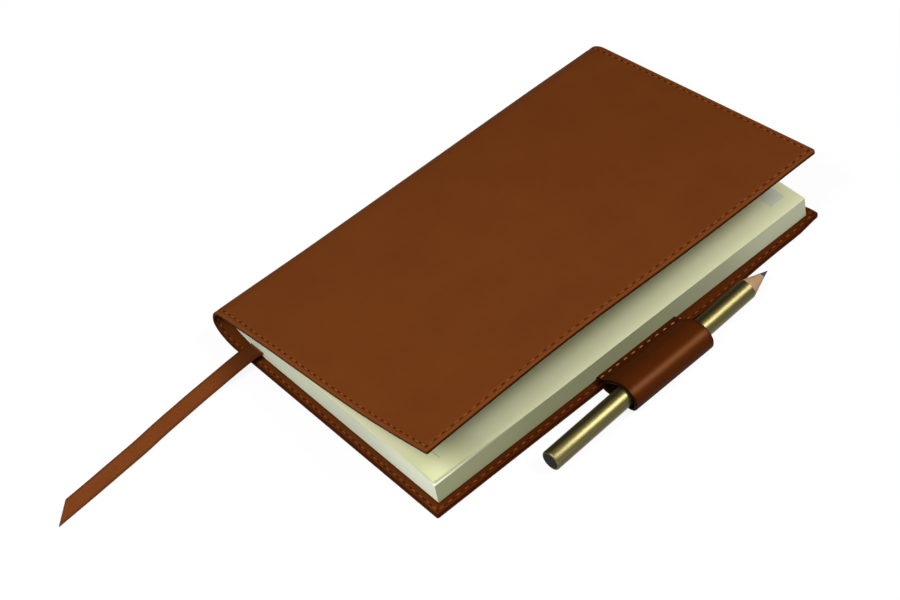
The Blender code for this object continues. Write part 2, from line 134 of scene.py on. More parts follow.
camera_data = bpy.data.cameras.new("camera")
camera_data.sensor_width = 36.0
camera_data.lens = 95.70
camera_data.clip_start = 0.01
camera = bpy.data.objects.new("camera", camera_data)
camera_right = Vector((0.66778, 0.73814, -0.09603))
camera_up = Vector((-0.50736, 0.54576, 0.66688))
camera_turn = Matrix((camera_right, camera_up, camera_right.cross(camera_up))).transposed()
camera.matrix_world = Matrix.Translation((0.36468, -0.29485, 0.51241)) @ camera_turn.to_4x4()
bpy.context.scene.collection.objects.link(camera)
bpy.context.scene.camera = camera
bpy.context.scene.view_settings.view_transform = "Standard"


# Cover leather. One piece of smooth dyed calf over a board in each panel, folded in and sewn along
# its edges, and bent round the text block as a soft spine. It is laid out flat here, in mm, along
# from the back panel's spine edge, across from the middle and deep from its face, then folded.
MM = 0.001
HALF_LENGTH = 75.25
BACK_WIDTH = 86.0
FRONT_WIDTH = 87.95
FRONT_ANGLE = math.radians(8.8)
PANEL_THICK = 2.6
SPINE_THICK = 1.2
LEATHER = 0.8
TURN_IN = 0.4
TURN_IN_WIDTH = 8.0
SPINE_DEPTH = 9.7
SPINE_LOW = 5.8
SPINE_HIGH = 9.15
BACK_RIM = 1.9
SPINE_RIM = 0.8
FRONT_RIM = 1.5
RIM_REACH = 9.0
CORNER_BULK = 0.1
EDGE_ROLL = 0.4
CORNER_ROUND = 0.55
BACK_SEAM = 1.25
FRONT_SEAM = 1.45
SEAM_DENT = 0.32
SEAM_DENT_WIDTH = 0.42
SKEW = 0.0105
UPPER_TURN = math.pi - math.atan(math.tan(FRONT_ANGLE) * SPINE_DEPTH / SPINE_HIGH)
spine_turns = np.linspace(0.0, UPPER_TURN, 600)
spine_x = -SPINE_DEPTH * np.sin(spine_turns)
spine_z = -np.where(spine_turns < math.pi / 2, SPINE_LOW, SPINE_HIGH) * np.cos(spine_turns)
spine_runs = np.concatenate([[0.0], np.cumsum(np.hypot(np.diff(spine_x), np.diff(spine_z)))])
SPINE_RUN = spine_runs[-1]
SPLIT = float(np.interp(math.radians(100), spine_turns, spine_runs))

# How far the soft front panel leaves its flat plane along its tail edge, read from the photograph,
# and the low swell along its fore-edge
SAG_PLACES = (0.0, 10.0, 20.0, 30.0, 42.0, 56.0, 72.0, 83.0, 89.0)
TAIL_SAGS = (-1.9, -1.7, -1.5, -1.8, -2.25, -2.05, -1.3, 0.0, 0.7)
tail_sag = np.polyfit(SAG_PLACES, TAIL_SAGS, 5)
HEAD_SAG = -0.25
SWELL = 2.05
SWELL_PLACE = -25.0
SWELL_REACH = 40.0
CURL = 1.4
CURL_REACH = 9.0
SPINE_FLARE = (0.45, -0.25)
EDGE_REACH = 0.42
LOOP_PULL = 1.35
PULL_PLACE = 28.0
PULL_REACH = 17.0
ARCH_INSET = 0.35
ARCH_REACH = 12.0
BLOCK_CORNER = (40.8, 72.8)


def ease(share):
    """Runs from 0 to 1 with flat ends."""
    share = np.clip(share, 0.0, 1.0)
    return share * share * (3.0 - 2.0 * share)


def bell(place):
    """A smooth hump, 1 at nought and gone by 2 on either side."""
    return np.exp(-(place ** 2))


def front_sag(front, across):
    """How far the front panel, and the top of the arch before it, stands off its flat plane."""
    onset = ease((front + 10.0) / 10.0)
    flat = np.maximum(front, 0.0)
    head = HEAD_SAG * flat / FRONT_WIDTH
    to_tail = ease((HALF_LENGTH - across) / (2 * HALF_LENGTH))
    swell = SWELL * (flat / FRONT_WIDTH) ** 2 * bell((across - SWELL_PLACE) / SWELL_REACH)
    return onset * (np.polyval(tail_sag, flat) * to_tail + head * (1.0 - to_tail)) + swell


def corner_curl(x, across):
    """The back panel's free corner at the head, which has curled up beside the text block."""
    beside = np.hypot(np.maximum(x - BLOCK_CORNER[0], 0.0), np.maximum(across - BLOCK_CORNER[1], 0.0))
    near = ease(1.0 - np.hypot(BACK_WIDTH / 2 - x, HALF_LENGTH - across) / CURL_REACH)
    return CURL * near * np.minimum(beside / 2.2, 1.0)


def edge_reach(back, across):
    """How far the back panel's fore-edge has been drawn out, most of all beyond the pencil loop."""
    pulled = EDGE_REACH + LOOP_PULL * bell((across - PULL_PLACE) / PULL_REACH)
    return pulled * ease((-back - 74.0) / 10.0)


def edge_gap(along, across):
    """The distances from the cover's nearest edge and from its nearest corner."""
    far = np.where(along < SPLIT, along + BACK_WIDTH, SPINE_RUN + FRONT_WIDTH - along)
    side = HALF_LENGTH - np.abs(across)
    return np.minimum(side, far), np.hypot(side, far)


def cover_thick(along, across):
    """The panels hold boards and the spine doesn't, and the sewn rim is pressed thin all round."""
    soft = ease((along + 3.0) / 6.0) * ease((SPINE_RUN + 3.0 - along) / 11.0)
    panel_rim = np.where(along < SPLIT, BACK_RIM, FRONT_RIM)
    body = PANEL_THICK - (PANEL_THICK - SPINE_THICK) * soft
    thin = soft * ease((SPINE_RUN - 4.0 - along) / 9.0)
    rim = panel_rim - (panel_rim - SPINE_RIM) * thin
    edge, corner = edge_gap(along, across)
    bulk = CORNER_BULK * ease(1.0 - corner / 6.0) * (along > SPLIT)
    return rim + bulk + (body - rim - bulk) * ease(edge / RIM_REACH)


def cover_place(along, across, deep):
    """Folds the flat cover: places along and across in mm, and deep in a full panel, become points."""
    along, across, deep = np.broadcast_arrays(np.asarray(along, float), across, deep)
    deep = deep * cover_thick(along, across) / PANEL_THICK
    turn = np.interp(along, spine_runs, spine_turns)
    rise = np.where(turn < math.pi / 2, SPINE_LOW, SPINE_HIGH)
    in_x = np.sin(turn) / SPINE_DEPTH
    in_z = np.cos(turn) / rise
    size = np.hypot(in_x, in_z)
    back = np.minimum(along, 0.0)
    front = np.maximum(along - SPINE_RUN, 0.0)
    flare = SPINE_FLARE[0] * ease((-across - 35.0) / 40.0)
    flare = flare + SPINE_FLARE[1] * ease((across - 45.0) / 30.0)
    x = -BACK_WIDTH / 2 - (SPINE_DEPTH + flare) * np.sin(turn) - back + front * math.cos(FRONT_ANGLE)
    x = x - SKEW * across * front / FRONT_WIDTH + edge_reach(back, across)
    z = SPINE_LOW - rise * np.cos(turn) + front * math.sin(FRONT_ANGLE)
    z = z + front_sag(along - SPINE_RUN, across)
    z = z + np.where(along < 0.0, corner_curl(x, across), 0.0)
    return np.stack([x + deep * in_x / size, across, z + deep * in_z / size], -1)


def seam_inset(along):
    """How far the seam lies from the cover's edge, a little more over the arch of the spine."""
    over_arch = ARCH_INSET * bell((along - SPINE_RUN) / ARCH_REACH)
    return BACK_SEAM + (FRONT_SEAM - BACK_SEAM) * ease(along / SPINE_RUN) + over_arch


def seam_dent(along, edge):
    """How deep the thread pulls the leather in, by the distance from the cover's edge."""
    return SEAM_DENT * bell((edge - seam_inset(along)) / SEAM_DENT_WIDTH)


def grid_faces(start, rows, columns):
    """The quads of a grid of points that are numbered row by row."""
    return [(start + i * columns + j, start + (i + 1) * columns + j,
             start + (i + 1) * columns + j + 1, start + i * columns + j + 1)
            for i in range(rows - 1) for j in range(columns - 1)]


def band_faces(first, second):
    """The quads between two runs of points of the same count."""
    return [(first[i], first[i + 1], second[i + 1], second[i]) for i in range(len(first) - 1)]


def open_rim(rows, columns):
    """The points round three sides of a grid, from the first row to the last and back."""
    rim = [i * columns for i in range(rows)]
    rim += [(rows - 1) * columns + j for j in range(1, columns)]
    return rim + [i * columns + columns - 1 for i in range(rows - 2, -1, -1)]


def slab_faces(start, rows, columns):
    """The faces of a closed slab, from two grids of points that follow each other."""
    count = rows * columns
    rim = [start + i for i in open_rim(rows, columns) + list(range(columns - 2, -1, -1))]
    faces = grid_faces(start, rows, columns) + grid_faces(start + count, rows, columns)
    return faces + band_faces(rim, [i + count for i in rim])


def add_piece(name, points, faces, material, slot, sharp=45.0, **traits):
    """A named mesh from points in mm, which remembers each point's place at rest for its finish."""
    points = np.reshape(points, (-1, 3)) * MM
    mesh = bpy.data.meshes.new(name)
    mesh.from_pydata(points.tolist(), [], faces)
    shape = bmesh.new()
    shape.from_mesh(mesh)
    bmesh.ops.recalc_face_normals(shape, faces=shape.faces)
    shape.to_mesh(mesh)
    shape.free()
    mesh.shade_smooth()
    mesh.set_sharp_from_angle(angle=math.radians(sharp))
    rest = mesh.attributes.new("rest_place", "FLOAT_VECTOR", "POINT")
    rest.data.foreach_set("vector", points.astype(np.float32).ravel())
    for label, values in traits.items():
        kept = mesh.attributes.new(label, "FLOAT", "POINT")
        kept.data.foreach_set("value", np.asarray(values, np.float32).ravel())
    mesh.materials.append(material)
    piece = bpy.data.objects.new(name, mesh)
    bpy.context.scene.collection.objects.link(piece)
    return piece


def trait(tree, name, kind="Fac"):
    """A value that a mesh carries at each of its points."""
    return add_node(tree, "ShaderNodeAttribute", attribute_name=name).outputs[kind]


def noise(tree, place, size_mm, detail, **more):
    """A noise with features of a size in mm."""
    return add_node(tree, "ShaderNodeTexNoise", {"Vector": place, "Scale": 1 / (size_mm * MM),
                    "Detail": detail, **more}).outputs["Fac"]


def ranged(tree, value, low, high, first, last):
    """A value carried from one range to another."""
    return add_node(tree, "ShaderNodeMapRange", {"Value": value, "From Min": low, "From Max": high,
                    "To Min": first, "To Max": last}).outputs[0]


def bump(tree, height, strength, depth_mm):
    """A fine relief of a depth in mm."""
    return add_node(tree, "ShaderNodeBump", {"Strength": strength, "Distance": depth_mm * MM,
                    "Height": height}).outputs[0]


def mixed(tree, share, first, second):
    """The colour between two colours, by a share."""
    return add_node(tree, "ShaderNodeMix", {0: share, 6: first, 7: second}, data_type="RGBA").outputs[2]


# Smooth dyed calf: an even warm brown with a fine pebble grain, faintly cloudy from the dye, and a low
# sheen that breaks on the grain. An edge colour goes on by one trait, a paler painted highlight on
# folded edges and crests, and darker on the marker's cut edges; a dark colour goes on by another,
# painted shade below and inside the edges, and burnish on the loop's cut ends.
GRAIN_MM = 0.45
CLOUD_MM = 16.0
SHEEN_SPREAD = 0.06


def leather_finish(name, main, deep, edge, burnish, rough, shine):
    material, tree, shader = new_finish(name)
    place = trait(tree, "rest_place", "Vector")
    grain = add_node(tree, "ShaderNodeTexVoronoi", {"Vector": place, "Scale": 1 / (GRAIN_MM * MM),
                     "Randomness": 1.0}, feature="SMOOTH_F1")
    clouds = noise(tree, place, CLOUD_MM, 5.0, Roughness=0.6)
    pores = noise(tree, place, 2.2 * GRAIN_MM, 3.0)
    speckle = add_node(tree, "ShaderNodeMath", {0: grain.outputs["Distance"], 1: pores},
                       operation="MULTIPLY").outputs[0]
    flecked = add_node(tree, "ShaderNodeMath", {0: speckle, 1: 0.4,
                       2: ranged(tree, clouds, 0.32, 0.72, 0.0, 0.45)},
                       operation="MULTIPLY_ADD", use_clamp=True)
    body = mixed(tree, flecked.outputs[0], linear(main), linear(deep))
    # Two traits mix in the edge colour, mostly a painted highlight, and the dark colour, mostly painted
    # shade.
    edged = mixed(tree, trait(tree, "edge_wear"), body, linear(edge))
    colour = mixed(tree, trait(tree, "edge_burnish"), edged, linear(burnish))
    sheen = ranged(tree, pores, 0.3, 0.7, rough - SHEEN_SPREAD, rough + SHEEN_SPREAD)
    fill(tree, shader, {"IOR": 1.46, "Specular IOR Level": shine, "Specular Tint": linear("#FFC89A"),
                        "Base Color": colour, "Roughness": sheen,
                        "Normal": bump(tree, speckle, 0.18, 0.08)})
    return material


brown_calf = leather_finish("smooth brown calf", "#6D3916", "#613012", "#78431E", "#3C1301", 0.62, 0.02)

# Rings from the face round the folded edge, which is pressed squarish: inset, share of the
# thickness, extra depth, dent. The face is painted a touch darker towards the head, as painted shade.
SQUARE = 0.6
HEAD_SHADE = 0.1
roll_turns = np.radians(np.arange(15.0, 181.0, 15.0))
edge_rings = [(EDGE_ROLL * (1 - abs(math.sin(t)) ** SQUARE),
               (1 - math.copysign(abs(math.cos(t)) ** SQUARE, math.cos(t))) / 2, 0.0, 0.0)
              for t in roll_turns]
turn_in_rings = [(TURN_IN_WIDTH - 0.3, 1.0, 0.0, 0.0), (TURN_IN_WIDTH - 0.06, 1.0, -0.08, 0.0),
                 (TURN_IN_WIDTH, 1.0, -0.22, 0.0), (TURN_IN_WIDTH - 0.05, 1.0, -TURN_IN, 0.0),
                 (LEATHER + 0.45, 1.0, -TURN_IN, 0.0), (LEATHER + 0.4, 0.0, LEATHER + 0.04, 0.0)]


def cover_half(name, fore, bend_run):
    """Half of the cover from the middle of the spine to a fore-edge, as one closed skin."""
    run = abs(fore - SPLIT)
    way = math.copysign(1.0, fore - SPLIT)
    edge_rows = np.arange(13) * 0.35
    near = np.arange(0.0, bend_run, 0.7)
    far = run - edge_rows[::-1]
    middle = np.linspace(bend_run, far[0], 26)[:-1]
    stops = np.concatenate([near, middle, far]) / run
    ends = 1.0 - edge_rows / HALF_LENGTH
    sides = np.concatenate([-ends, np.linspace(-ends[-1], ends[-1], 48)[1:-1], ends[::-1]])
    rows, columns = len(stops), len(sides)
    edge_highlights, edge_shades = [], []
    front = way > 0.0

    def place(a, b, inset, share, extra, dent):
        gap_a = (run - inset) * (1.0 - a)
        gap_b = (HALF_LENGTH - inset) * (1.0 - np.abs(b))
        gap_a, gap_b, inset = np.broadcast_arrays(gap_a, gap_b, inset)
        corner = np.maximum(CORNER_ROUND - 0.6 * inset, 0.1)
        p = np.clip(1.0 - gap_a / corner, 0.0, 1.0)
        q = np.clip(1.0 - gap_b / corner, 0.0, 1.0)
        both = (p > 0.0) & (q > 0.0)
        gap_a = np.where(both, corner * (1.0 - p * np.sqrt(1.0 - q * q / 2)), gap_a)
        gap_b = np.where(both, corner * (1.0 - q * np.sqrt(1.0 - p * p / 2)), gap_b)
        along = SPLIT + way * (run - inset - gap_a)
        across = np.where(b < 0.0, -1.0, 1.0) * (HALF_LENGTH - inset - gap_b)
        edge = np.minimum(gap_a, gap_b) + inset
        deep = share * PANEL_THICK + extra + dent * seam_dent(along, edge)
        # Paler trait, a painted highlight: along the top corner of the front half's folded edge, and on
        # the back half's turned-in border a band by the tail and head and a thin line by the fore-edge.
        if front:
            paler = 0.75 * bell((edge - 0.25) / 0.35) * (share < 0.3)
        else:
            paler = np.maximum(0.6 * bell((gap_b + inset - 1.0) / 0.5),
                             0.4 * bell((gap_a + inset - 0.45) / 0.25)) * (share > 0.7)
        # Darker trait, painted shade: over the turned-in border, deeper at its mitres and near the
        # spine's crease, and on the inner half of the folded edge.
        mitre = 0.3 * bell((gap_a - gap_b) / 0.3)
        crease = 0.4 * bell((along - SPINE_RUN + 2.0) / 7.0)
        turned = np.where(gap_b < gap_a, 0.36, 0.62) + mitre + crease
        turned = turned * ease((edge - 0.1) / 0.5) * (share > 0.9)
        dark = bell(edge / (0.6 if front else 0.42)) * (share > 0.3)
        # Painted shade: the outer face a touch darker towards the head.
        head_shade = HEAD_SHADE * ease((across + 30.0) / 100.0) * (share < 0.3)
        edge_highlights.append(paler.ravel())
        edge_shades.append((dark * (1.0 - turned) + turned + head_shade).ravel())
        return cover_place(along, across, deep).reshape(-1, 3)

    loop_a = np.concatenate([stops, np.ones(columns - 1), stops[-2::-1]])
    loop_b = np.concatenate([-np.ones(rows), sides[1:], np.ones(rows - 1)])
    loop = open_rim(rows, columns)
    seam = seam_inset(SPLIT + way * loop_a * run)
    sewn_rings = [(seam + step, 1.0, 0.0, -1.0) for step in (-0.35, 0.0, 0.35, 0.7, 1.2)]
    points = [place(stops[:, None], sides[None, :], EDGE_ROLL, 0.0, 0.0, 1.0)]
    faces = grid_faces(0, rows, columns)
    start = rows * columns
    runs = [loop]
    for inset, share, extra, dent in edge_rings + sewn_rings + turn_in_rings:
        points.append(place(loop_a, loop_b, inset, share, extra, dent))
        runs.append(list(range(start, start + len(loop))))
        start += len(loop)
    points.append(place(stops[:, None], sides[None, :], LEATHER + 0.45, 0.0, LEATHER, 0.0))
    faces += grid_faces(start, rows, columns)
    runs.append([start + i for i in loop])
    for first, second in zip(runs, runs[1:]):
        faces += band_faces(first, second)
    faces += band_faces(range(columns), range(start, start + columns))
    faces += [tuple(r[0] for r in runs), tuple(r[-1] for r in runs)]
    return add_piece(name, np.concatenate(points), faces, brown_calf, "brown_leather",
                     edge_wear=np.concatenate(edge_highlights), edge_burnish=np.concatenate(edge_shades))


LOWER_BEND = (math.radians(22), math.radians(86))
UPPER_BEND = (math.radians(148), 6.0)
lower_start, lower_end = cover_place(np.interp(LOWER_BEND, spine_turns, spine_runs), 0.0, 0.0) * MM
upper_start = cover_place(np.interp(UPPER_BEND[0], spine_turns, spine_runs), 0.0, 0.0) * MM
upper_end = cover_place(SPINE_RUN + UPPER_BEND[1], 0.0, 0.0) * MM


def bend_lower(piece):
    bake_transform(piece)


def bend_upper(piece):
    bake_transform(piece)


cover_back = cover_half("cover_back_half", -BACK_WIDTH, SPLIT + 6.0)
bend_lower(cover_back)
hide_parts("back_leather")
cover_front = cover_half("cover_front_half", SPINE_RUN + FRONT_WIDTH, SPINE_RUN - SPLIT + 8.0)
bend_upper(cover_front)
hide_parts("front_leather", "spine_leather")


# Filling of each panel: a greyboard, a lining cloth glued over it, a card endpaper tucked in, and
# a slip pocket of thin leather on the fore-edge side that holds the card.
EDGE_CLEAR = 2.4
POCKET_WIDTH = 45.0
LAYER_GAP = 0.1


def sheet_piece(name, place, u, v, low, high, material, slot, **more):
    """A closed thin sheet over the stops u and v, between two heights, folded by place."""
    top = place(u[:, None], v[None, :], high)
    under = place(u[:, None], v[None, :], low)
    return add_piece(name, np.stack([top, under]), slab_faces(0, len(u), len(v)), material, slot, **more)


# Greyboard: pressed waste paper, a dull grey with darker and paler fibres.
# Lining cloth: a plain brown book cloth, whose weave shows as a fine check.
# Endpaper card: smooth buff card, faintly cloudy.
def stock_finish(name, pale, dark, pattern_mm, rough, woven):
    material, tree, shader = new_finish(name)
    place = add_node(tree, "ShaderNodeTexCoord").outputs["Object"]
    if woven:
        pattern = add_node(tree, "ShaderNodeTexChecker", {"Vector": place,
                           "Scale": 1 / (pattern_mm * MM)}).outputs["Fac"]
    else:
        pattern = noise(tree, place, pattern_mm, 6.0, Roughness=0.7)
    fill(tree, shader, {"Roughness": rough, "Specular IOR Level": 0.25,
                        "Normal": bump(tree, pattern, 0.2, 0.05),
                        "Base Color": mixed(tree, pattern, linear(dark), linear(pale))})
    return material


greyboard = stock_finish("pressed greyboard", "#97938A", "#7F7B72", 1.2, 0.9, False)
book_cloth = stock_finish("plain brown book cloth", "#6B4A30", "#513521", 0.4, 0.85, True)
buff_card = stock_finish("smooth buff card", "#CFC7AC", "#C2B999", 5.0, 0.75, False)
thin_leather = leather_finish("thin dark calf", "#42200A", "#341606", "#4C260E", "#2A1104", 0.62, 0.03)
layers = (("board", 0.5, greyboard, "greyboard"), ("lining", 0.25, book_cloth, "lining_cloth"),
          ("card", 0.25, buff_card, "card"))
for side, body, near, far in (("back", "back_cover", -EDGE_CLEAR, -BACK_WIDTH + EDGE_CLEAR),
                              ("front", "front_cover", SPINE_RUN + EDGE_CLEAR,
                               SPINE_RUN + FRONT_WIDTH - EDGE_CLEAR)):
    across = np.linspace(-HALF_LENGTH + EDGE_CLEAR, HALF_LENGTH - EDGE_CLEAR, 24)
    deep = LEATHER + LAYER_GAP
    for layer, thick, material, slot in layers:
        sheet = sheet_piece(f"{side}_{layer}_sheet", cover_place, np.linspace(near, far, 20), across,
                            deep, deep + thick, material, slot)
        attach(sheet, body)
        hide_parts(f"{side}_{layer}")
        deep += thick + LAYER_GAP
    way = math.copysign(1.0, far)
    pocket_far = far - way * (TURN_IN_WIDTH + 0.3 - EDGE_CLEAR)
    pocket_side = HALF_LENGTH - TURN_IN_WIDTH - 0.3
    pocket = sheet_piece(f"{side}_pocket_sheet", cover_place,
                         np.linspace(pocket_far - way * POCKET_WIDTH, pocket_far, 16),
                         np.linspace(-pocket_side, pocket_side, 24), deep, PANEL_THICK, thin_leather,
                         "dark_leather")
    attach(pocket, body)
    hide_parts(f"{side}_pocket")


# Spine lining. A thin dark calf strip glued inside the hollow of the spine, under the turned-in
# ends, so that the bare back of the leather doesn't show when the book is opened.
LINING_END = TURN_IN_WIDTH - 1.0


def lining_half(name, first, last):
    across = np.linspace(-HALF_LENGTH + LINING_END, HALF_LENGTH - LINING_END, 24)
    along = np.linspace(first, last, 28)
    return sheet_piece(name, cover_place, along, across, LEATHER + 0.02, PANEL_THICK - TURN_IN - 0.02,
                       thin_leather, "dark_leather")


lining_low = lining_half("spine_lining_lower", -1.2, SPLIT)
bend_lower(lining_low)
lining_high = lining_half("spine_lining_upper", SPLIT, SPINE_RUN + 1.2)
bend_upper(lining_high)
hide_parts("spine_lining")


# Pencil loop. A strap of the same calf, sewn down with the border's own seam on the inside of the
# back panel, passed over and under the pencil, and closed against the panel's edge.
LOOP_LOW = -13.3
LOOP_HIGH = 17.9
LOOP_LEATHER = 0.9
LOOP_CENTRE = (51.0, 4.3)
LOOP_WIDE = 4.65
LOOP_TALL = 3.68
LOOP_FULL = 0.7
LOOP_SHIFT = 0.54
LOOP_YAW = 0.0195
FLAP_TOP = 3.5
CREST = math.radians(49)
FLAP_START = 40.7
WALL_X = 43.75


def corner_cut(points, times):
    """Rounds an open path by cutting its corners."""
    for _ in range(times):
        cut = [points[0]]
        for a, b in zip(points, points[1:]):
            cut += [a * 0.75 + b * 0.25, a * 0.25 + b * 0.75]
        points = cut + [points[-1]]
    return points


strap_turns = np.radians(np.linspace(135.0, -90.0, 36))
flap_z = FLAP_TOP - LOOP_LEATHER / 2
strap_path = [np.array(place) for place in ((FLAP_START, flap_z), (42.4, flap_z + 0.1),
                                            (44.0, flap_z + 1.0), (45.5, flap_z + 2.6))]
for t in strap_turns:
    full = LOOP_FULL if t < 0.0 else 1.0
    out = abs(math.cos(t)) ** full * math.copysign(1.0, math.cos(t))
    rise = abs(math.sin(t)) ** full * math.copysign(1.0, math.sin(t))
    strap_path.append(np.array((LOOP_CENTRE[0] + LOOP_WIDE * out, LOOP_CENTRE[1] + LOOP_TALL * rise)))
loop_floor = LOOP_CENTRE[1] - LOOP_TALL
strap_path += [np.array(place) for place in ((46.0, loop_floor), (WALL_X, loop_floor), (WALL_X, 1.6),
                                             (WALL_X, FLAP_TOP - LOOP_LEATHER - 0.05))]
strap_path = np.array(corner_cut(strap_path, 3))
strap_way = np.gradient(strap_path, axis=0)
strap_way /= np.linalg.norm(strap_way, axis=1)[:, None]
strap_out = np.stack([-strap_way[:, 1], strap_way[:, 0]], -1)
flap_top = (strap_path + strap_out * LOOP_LEATHER / 2)[:24]
end_rows = np.array((0.0, 0.08, 0.22, 0.5))
end_half = np.array((0.22, 0.36, 0.43, 0.45))
strap_y = np.concatenate([LOOP_LOW + end_rows, np.linspace(LOOP_LOW + 2, LOOP_HIGH - 2, 14),
                          LOOP_HIGH - end_rows[::-1]])
strap_half = np.concatenate([end_half, np.full(14, 0.45), end_half[::-1]])
strap_points = []
for side in (1.0, -1.0):
    flat = strap_path[:, None, :] + side * strap_half[None, :, None] * strap_out[:, None, :]
    strap_across = np.broadcast_to(strap_y, flat.shape[:2])
    follow = np.clip((flat[..., 0] - 43.0) / 4.0, 0.0, 1.0) * (LOOP_SHIFT - LOOP_YAW * strap_across)
    strap_points.append(np.stack([flat[..., 0] + follow, strap_across, flat[..., 1]], -1))

# The strap is darkened at its cut ends, which are burnished and painted shade, all over its inside
# and under the pencil, both painted shade, and a painted highlight runs pale along its crest.
INSIDE_SHADE = 0.9
end_gap = np.minimum(strap_y - LOOP_LOW, LOOP_HIGH - strap_y)
strap_lean = np.arctan2(strap_path[:, 1] - LOOP_CENTRE[1], strap_path[:, 0] - LOOP_CENTRE[0])
strap_burnish_and_shade = np.maximum(bell(end_gap / 0.45)[None, :],
                         0.2 * ease((0.35 - strap_lean) / 0.6)[:, None])
strap_burnish_and_shade = np.stack([strap_burnish_and_shade, np.maximum(strap_burnish_and_shade, INSIDE_SHADE)])
strap_crest_highlight = np.tile(np.repeat(0.5 * bell((strap_lean - CREST) / 0.2), len(strap_y)), 2)
loop_calf = leather_finish("handled brown calf", "#4E2206", "#431C05", "#8F5A36", "#1A0A02", 0.5, 0.035)
loop_piece = add_piece("pencil_loop_strap", np.stack(strap_points),
                       slab_faces(0, len(strap_path), len(strap_y)), loop_calf, "brown_leather",
                       edge_burnish=strap_burnish_and_shade, edge_wear=strap_crest_highlight)
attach(loop_piece, "back_cover")
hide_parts("pencil_loop")


# Seams. A lockstitch in waxed thread runs through the cover and its turned-in border, along tail,
# fore-edge and head, so that it shows on both faces. Each stitch lies between two needle holes.
TAIL_STITCH = 2.65
FORE_STITCH = 3.05
THREAD_HALF = 0.2
THREAD_RINGS = 7
THREAD_SIDES = 6
HOLE_LONG = 0.6
HOLE_WIDE = 0.27
HOLE_SIDES = 10
HOLE_LIFT = 0.03

# Waxed thread: tight orange-brown polyester, slightly glossy, paler where it runs over the loop's flap.
waxed_thread, thread_tree, thread_shader = new_finish("waxed orange-brown thread")
thread_fuzz = noise(thread_tree, trait(thread_tree, "rest_place", "Vector"), 0.5, 3.0)
thread_body = mixed(thread_tree, thread_fuzz, linear("#74360F"), linear("#98501E"))
thread_colour = mixed(thread_tree, trait(thread_tree, "edge_wear"), thread_body, linear("#B8703F"))
fill(thread_tree, thread_shader, {"Roughness": 0.5, "Specular IOR Level": 0.12,
                                  "Base Color": thread_colour})

# Needle holes: dark ovals where the needle went through, painted shade of the holes over raw leather.
hole_shade, hole_tree, hole_shader = new_finish("raw leather in shadow")
hole_fibre = noise(hole_tree, trait(hole_tree, "rest_place", "Vector"), 0.4, 2.0)
fill(hole_tree, hole_shader, {"Roughness": 0.9, "Specular IOR Level": 0.03,
                              "Base Color": mixed(hole_tree, hole_fibre, linear("#3A1504"),
                                                  linear("#4E2008"))})


def on_flap(along, across):
    """One where the seam runs over the loop's flap, and nought beside it."""
    beside = np.maximum(LOOP_LOW - across, across - LOOP_HIGH)
    return ease(1.0 - beside / 0.7) * (along < -BACK_WIDTH + 2.0)


def sewn_face(along, across, inner, lift):
    """Points a lift in mm off the face that a seam lies on, outside or inside, and the way up."""
    dent = seam_dent(along, edge_gap(along, across)[0])
    face = cover_place(along, across, PANEL_THICK - dent if inner else dent)
    up = cover_place(along, across, PANEL_THICK) - cover_place(along, across, 0.0)
    up *= (1.0 if inner else -1.0) / np.linalg.norm(up, axis=-1)[..., None]
    if inner:
        level = np.interp(face[..., 0], flap_top[:, 0], flap_top[:, 1])
        lift = lift + on_flap(along, across) * (level - face[..., 2])
    return face + np.asarray(lift)[..., None] * up, up


def stitch_points(along, across, inner):
    """The tubes of the stitches between neighbouring holes, all of them as one array."""
    shares = np.linspace(0.28, 0.72, THREAD_RINGS) if inner else np.linspace(0.22, 0.78, THREAD_RINGS)
    a = along[:-1, None] + (along[1:] - along[:-1])[:, None] * shares
    c = across[:-1, None] + (across[1:] - across[:-1])[:, None] * shares
    arch = np.sqrt(np.sin(np.pi * np.linspace(0.05, 0.95, THREAD_RINGS)))
    rise = 0.3 * arch - 0.16 if inner else 0.22 * arch - 0.2
    middle, up = sewn_face(a, c, inner, np.broadcast_to(rise, a.shape))
    run = np.gradient(middle, axis=1)
    side = np.cross(run, up)
    side /= np.linalg.norm(side, axis=-1)[..., None]
    girth = THREAD_HALF * np.array((0.55, 0.85, 1.0, 1.0, 1.0, 0.85, 0.55))[None, :, None]
    turns = np.arange(THREAD_SIDES) * 2 * math.pi / THREAD_SIDES
    rings = [middle + girth * (math.cos(t) * side + 0.9 * math.sin(t) * up) for t in turns]
    # Stitches over the loop's flap are paler.
    paler = np.repeat((on_flap(a, c) if inner else np.zeros(a.shape))[..., None], THREAD_SIDES, -1)
    return np.stack(rings, 2), paler


def hole_points(along, across, inner):
    """A small dark oval on the leather at each needle hole, as painted shade."""
    turns = np.arange(HOLE_SIDES) * 2 * math.pi / HOLE_SIDES
    run = np.array((along[-1] - along[0], across[-1] - across[0]))
    run /= np.hypot(*run)
    a = along[:, None] + HOLE_LONG * np.cos(turns) * run[0] - HOLE_WIDE * np.sin(turns) * run[1]
    c = across[:, None] + HOLE_LONG * np.cos(turns) * run[1] + HOLE_WIDE * np.sin(turns) * run[0]
    return sewn_face(a, c, inner, np.full(a.shape, HOLE_LIFT))[0]


